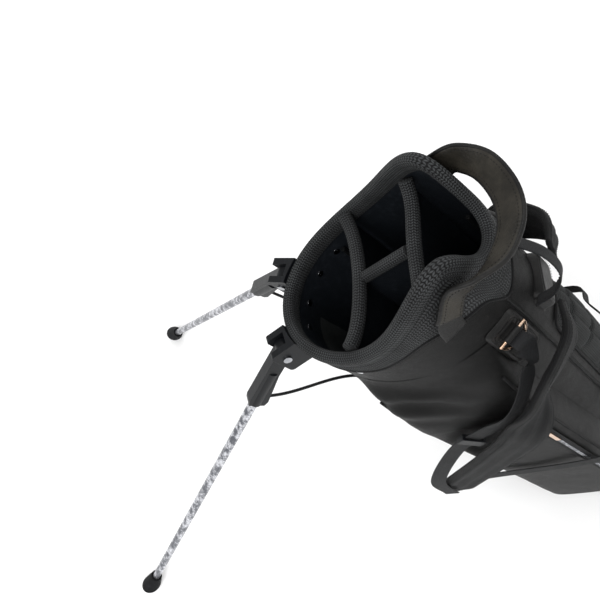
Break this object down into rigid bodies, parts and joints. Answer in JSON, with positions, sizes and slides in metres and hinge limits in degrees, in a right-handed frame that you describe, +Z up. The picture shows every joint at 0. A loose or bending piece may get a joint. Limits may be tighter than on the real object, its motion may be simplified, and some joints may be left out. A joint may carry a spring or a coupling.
{
  "type": "golf stand bag",
  "caption": "Golf bag standing on two opened legs, with a divided mouth, push-rod leg action, rocker foot, carry handle, side pockets and padded shoulder straps.",
  "frame": {"origin": "centre of the rocker foot's sole, where the bag's base stands on the ground", "axes": "+Z up; the bag leans towards -Y, where its legs are; +X is the golfer's left"},
  "size_m": [0.54, 0.9787, 0.8428],
  "materials": {
    "softshell": "smooth coated fabric",
    "lining": "smooth nylon lining",
    "spacer_mesh": "padded knitted mesh",
    "strap_mesh": "ribbed padded fabric",
    "webbing": "woven webbing",
    "handle_leather": "soft grained leather",
    "moulding": "satin moulded plastic",
    "tread_rubber": "matt",
    "tube_alloy": "brushed anodised",
    "pin_steel": "satin",
    "rod_steel": "black coated spring steel",
    "stay_plastic": "glass fibre rod",
    "rivet_chrome": "polished",
    "ring_gold": "rose gold plated"
  },
  "bodies": {
    "bag": {"base_cup": "moulding", "body_shell": "softshell", "carry_handle": "handle_leather", "collar_rivets": "rivet_chrome", "divider_back_panel": "lining", "divider_back_roll": "spacer_mesh", "divider_centre_panel": "lining", "divider_centre_roll": "spacer_mesh", "divider_front_panel": "lining", "divider_front_roll": "spacer_mesh", "foot_hinge_pin": "pin_steel", "hang_loop": "webbing", "leg_bracket_left": "moulding", "leg_bracket_right": "moulding", "leg_pin_left": "pin_steel", "leg_pin_right": "pin_steel", "lower_webbing_left": "webbing", "lower_webbing_right": "webbing", "rim_cushion": "spacer_mesh", "ring_patch_left": "handle_leather", "ring_patch_right": "handle_leather", "rod_guide_lower": "moulding", "rod_guide_upper": "moulding", "side_pocket_left": "softshell", "side_pocket_right": "softshell", "spine_pad": "spacer_mesh", "stay_rods": "stay_plastic", "strap_hub": "handle_leather", "strap_pad_left": "strap_mesh", "strap_pad_right": "strap_mesh", "strap_slide_left": "moulding", "strap_slide_right": "moulding", "strap_webbing_left": "webbing", "strap_webbing_right": "webbing", "top_collar": "lining", "zip_tape_left": "webbing", "zip_tape_right": "webbing"},
    "leg_left": {"leg_arm_left": "moulding", "leg_tube_left": "tube_alloy", "leg_boot_left": "tread_rubber", "spring_wire_left": "rod_steel"},
    "leg_right": {"leg_arm_right": "moulding", "leg_tube_right": "tube_alloy", "leg_boot_right": "tread_rubber", "spring_wire_right": "rod_steel"},
    "rocker_foot": {"foot_plate": "moulding", "foot_sole": "tread_rubber"},
    "actuator": {"push_rods": "rod_steel", "push_shoe": "moulding"},
    "ring_left": {"d_ring_left": "ring_gold"},
    "ring_right": {"d_ring_right": "ring_gold"},
    "zip_left": {"zip_slider_left": "ring_gold", "zip_pull_left": "ring_gold"},
    "zip_right": {"zip_slider_right": "ring_gold", "zip_pull_right": "ring_gold"}
  },
  "joints": [
    {"name": "leg_left_swing", "type": "hinge", "parent": "bag", "child": "leg_left", "pos_m": [0.051, -0.46504, 0.62005], "axis": [0.9478, 0.2762, 0.1595], "range_deg": [0, 59.6], "deforming": ["spring_wire_left"]},
    {"name": "leg_right_swing", "type": "hinge", "parent": "bag", "child": "leg_right", "pos_m": [-0.051, -0.46504, 0.62005], "axis": [0.9478, -0.2762, -0.1595], "range_deg": [0, 59.6], "deforming": ["spring_wire_right"]},
    {"name": "rocker_foot_hinge", "type": "hinge", "parent": "bag", "child": "rocker_foot", "pos_m": [0, 0.07239, 0.0112], "axis": [1, 0, 0], "range_deg": [0, 30]},
    {"name": "push_rod_slide", "type": "slide", "parent": "bag", "child": "actuator", "axis": [0, -0.5358, 0.8443], "range_m": [-0.07, 0]},
    {"name": "ring_left_hinge", "type": "hinge", "parent": "bag", "child": "ring_left", "pos_m": [0.07583, -0.20537, 0.69261], "axis": [0.6497, -0.6584, -0.3801], "range_deg": [-5, 5]},
    {"name": "ring_right_hinge", "type": "hinge", "parent": "bag", "child": "ring_right", "pos_m": [-0.07583, -0.20537, 0.69261], "axis": [0.6497, 0.6584, 0.3801], "range_deg": [-5, 5]},
    {"name": "zip_left_slide", "type": "slide", "parent": "bag", "child": "zip_left", "axis": [0, -0.5, 0.866], "range_m": [-0.33, 0]},
    {"name": "zip_right_slide", "type": "slide", "parent": "bag", "child": "zip_right", "axis": [0, -0.5, 0.866], "range_m": [-0.33, 0]}
  ],
  "couplings": [
    {"joint": "leg_right_swing", "follows": "leg_left_swing", "ratio": 1},
    {"joint": "rocker_foot_hinge", "follows": "leg_left_swing", "ratio": 0.503},
    {"joint": "push_rod_slide", "follows": "leg_left_swing", "m_per_rad": -0.0672}
  ]
}
